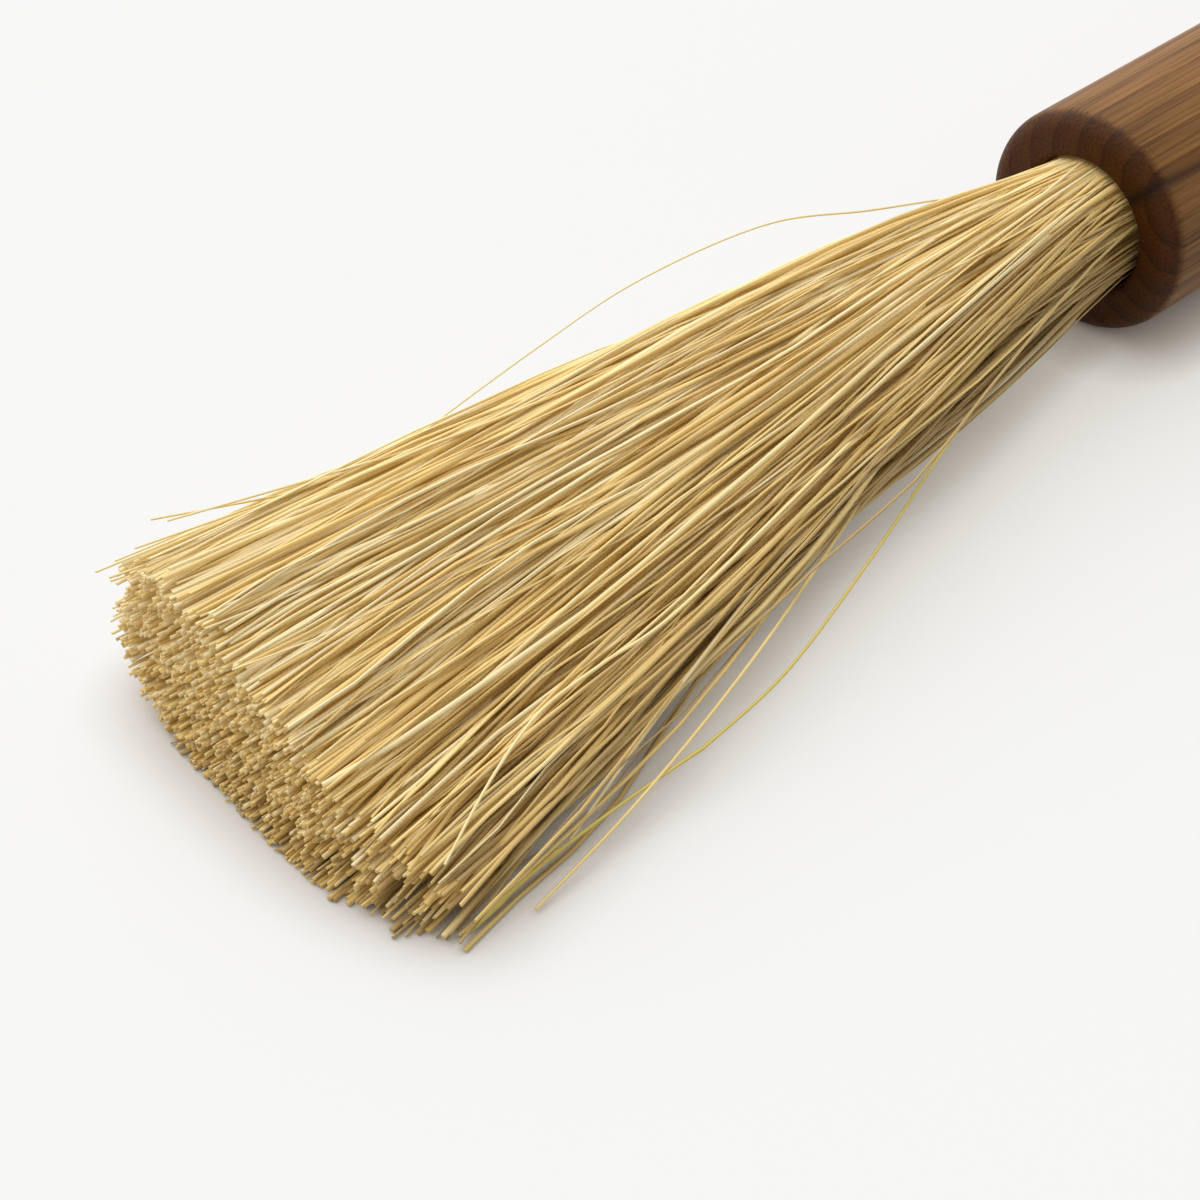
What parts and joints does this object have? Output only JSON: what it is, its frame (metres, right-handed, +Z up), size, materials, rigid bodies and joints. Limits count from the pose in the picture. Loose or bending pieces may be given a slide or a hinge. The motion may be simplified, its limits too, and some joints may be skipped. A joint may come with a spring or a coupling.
{
  "type": "body dry brush",
  "caption": "Dry body brush: one fanned bunch of stiff plant fibre set in a socket in the end of a turned wooden handle with a hanging hole.",
  "frame": {"origin": "on the table, below the middle of the brush's box", "axes": "+X along the handle towards its butt, -X towards the bristle tips, +Z up from the table that the brush lies on with its fan flat"},
  "size_m": [0.254, 0.053, 0.026],
  "materials": {
    "oiled_wood": "oiled, satin, brown with lengthwise grain",
    "agave_fibre": "dry, pale straw, slight sheen",
    "waxed_twine": "waxed, matt",
    "resin": "dark brown, poured, glossy"
  },
  "bodies": {
    "root": {"handle": "oiled_wood", "resin_plug": "resin", "root_twine": "waxed_twine", "upper_left_bristles": "agave_fibre", "upper_right_bristles": "agave_fibre", "lower_left_bristles": "agave_fibre", "lower_right_bristles": "agave_fibre"}
  },
  "joints": []
}
